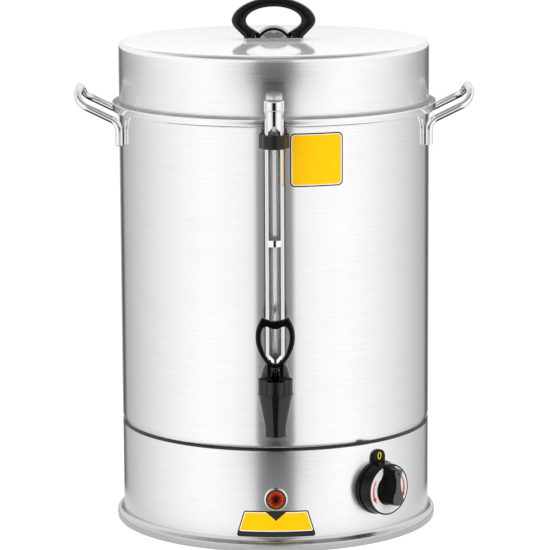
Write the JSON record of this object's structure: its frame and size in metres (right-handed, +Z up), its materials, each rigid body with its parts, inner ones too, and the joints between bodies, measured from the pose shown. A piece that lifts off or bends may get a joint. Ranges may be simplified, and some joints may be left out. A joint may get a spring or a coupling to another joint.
{
  "type": "hot milk dispenser",
  "caption": "Free-standing heated milk urn: lidded steel tank on a base ring, spring tap with a finger-loop lever, level gauge, rod handles, heat knob and pilot lamp.",
  "frame": {"origin": "on the tank's axis, at the table that the foot's hem rests on", "axes": "+Z up along the tank's axis, -Y to the front with the tap, +X to the right seen from the front"},
  "size_m": [0.4226, 0.418, 0.56],
  "materials": {
    "brushed_steel": "fine horizontal brushing",
    "plain_steel": "plain mill finish",
    "chrome": "polished",
    "gloss_black": "glossy moulded",
    "satin_black": "satin moulded",
    "rubber": "matt",
    "glass": "clear",
    "lamp_amber": "translucent ribbed",
    "moulded_white": "moulded",
    "copper": "drawn tube",
    "element_steel": "heat-darkened tube",
    "dial_grey": "printed satin",
    "lead_red": "silicone sleeve"
  },
  "bodies": {
    "dispenser": {"base_shell": "brushed_steel", "base_plate": "plain_steel", "plate_brackets": "plain_steel", "plate_screws": "plain_steel", "tank_shelf": "plain_steel", "shelf_studs": "plain_steel", "shelf_nuts": "plain_steel", "base_seal": "rubber", "body_shell": "brushed_steel", "inner_pot": "plain_steel", "filler_plug": "rubber", "handle_left": "chrome", "handle_right": "chrome", "tap_body": "gloss_black", "outer_washer": "rubber", "shank_sleeve": "plain_steel", "inner_washer": "rubber", "shank_nut": "plain_steel", "bonnet": "gloss_black", "bonnet_nut": "gloss_black", "gauge_nut": "gloss_black", "gauge_seal": "rubber", "gauge_glass": "glass", "glass_bush": "rubber", "gauge_guard": "chrome", "gauge_cap": "chrome", "gauge_clip": "satin_black", "clip_screw": "plain_steel", "clip_nut": "plain_steel", "lamp_bezel": "chrome", "lamp_lens": "lamp_amber", "lamp_body": "moulded_white", "lamp_nut": "moulded_white", "dial_plate": "satin_black", "thermostat_body": "moulded_white", "thermostat_screws": "plain_steel", "capillary_tube": "copper", "sensor_bulb": "copper", "bulb_gland": "plain_steel", "heating_element": "element_steel", "element_nuts": "plain_steel", "limit_thermostat": "moulded_white", "terminal_block": "moulded_white", "cord_gland": "satin_black", "gland_nut": "satin_black", "wiring": "lead_red"},
    "lid": {"lid_shell": "brushed_steel", "lid_ring": "plain_steel", "lid_knob": "gloss_black", "knob_dome": "chrome", "knob_washer": "plain_steel", "knob_nut": "plain_steel"},
    "heat_knob": {"thermostat_knob": "gloss_black", "dial_ring": "dial_grey", "thermostat_spindle": "plain_steel"},
    "plunger": {"plunger_stem": "gloss_black", "seat_cup": "rubber", "lever_pin": "plain_steel", "plunger_spring": "plain_steel"},
    "lever": {"tap_lever": "gloss_black"}
  },
  "joints": [
    {"name": "lid_lift", "type": "slide", "parent": "dispenser", "child": "lid", "axis": [0, 0, 1], "range_m": [0, 0.12]},
    {"name": "knob_turn", "type": "hinge", "parent": "dispenser", "child": "heat_knob", "pos_m": [0.10927, -0.13023, 0.0587], "axis": [-0.6428, 0.766, 0], "range_deg": [0, 270]},
    {"name": "plunger_lift", "type": "slide", "parent": "dispenser", "child": "plunger", "axis": [0, 0, 1], "range_m": [0, 0.00488], "stiffness_N_per_m": 300, "springref_m": -0.01, "deforming": ["plunger_spring"]},
    {"name": "lever_tilt", "type": "hinge", "parent": "plunger", "child": "lever", "pos_m": [0, -0.218, 0.2005], "axis": [1, 0, 0], "range_deg": [0, 40]}
  ],
  "couplings": [
    {"joint": "lever_tilt", "follows": "plunger_lift", "rad_per_m": 142.86}
  ]
}
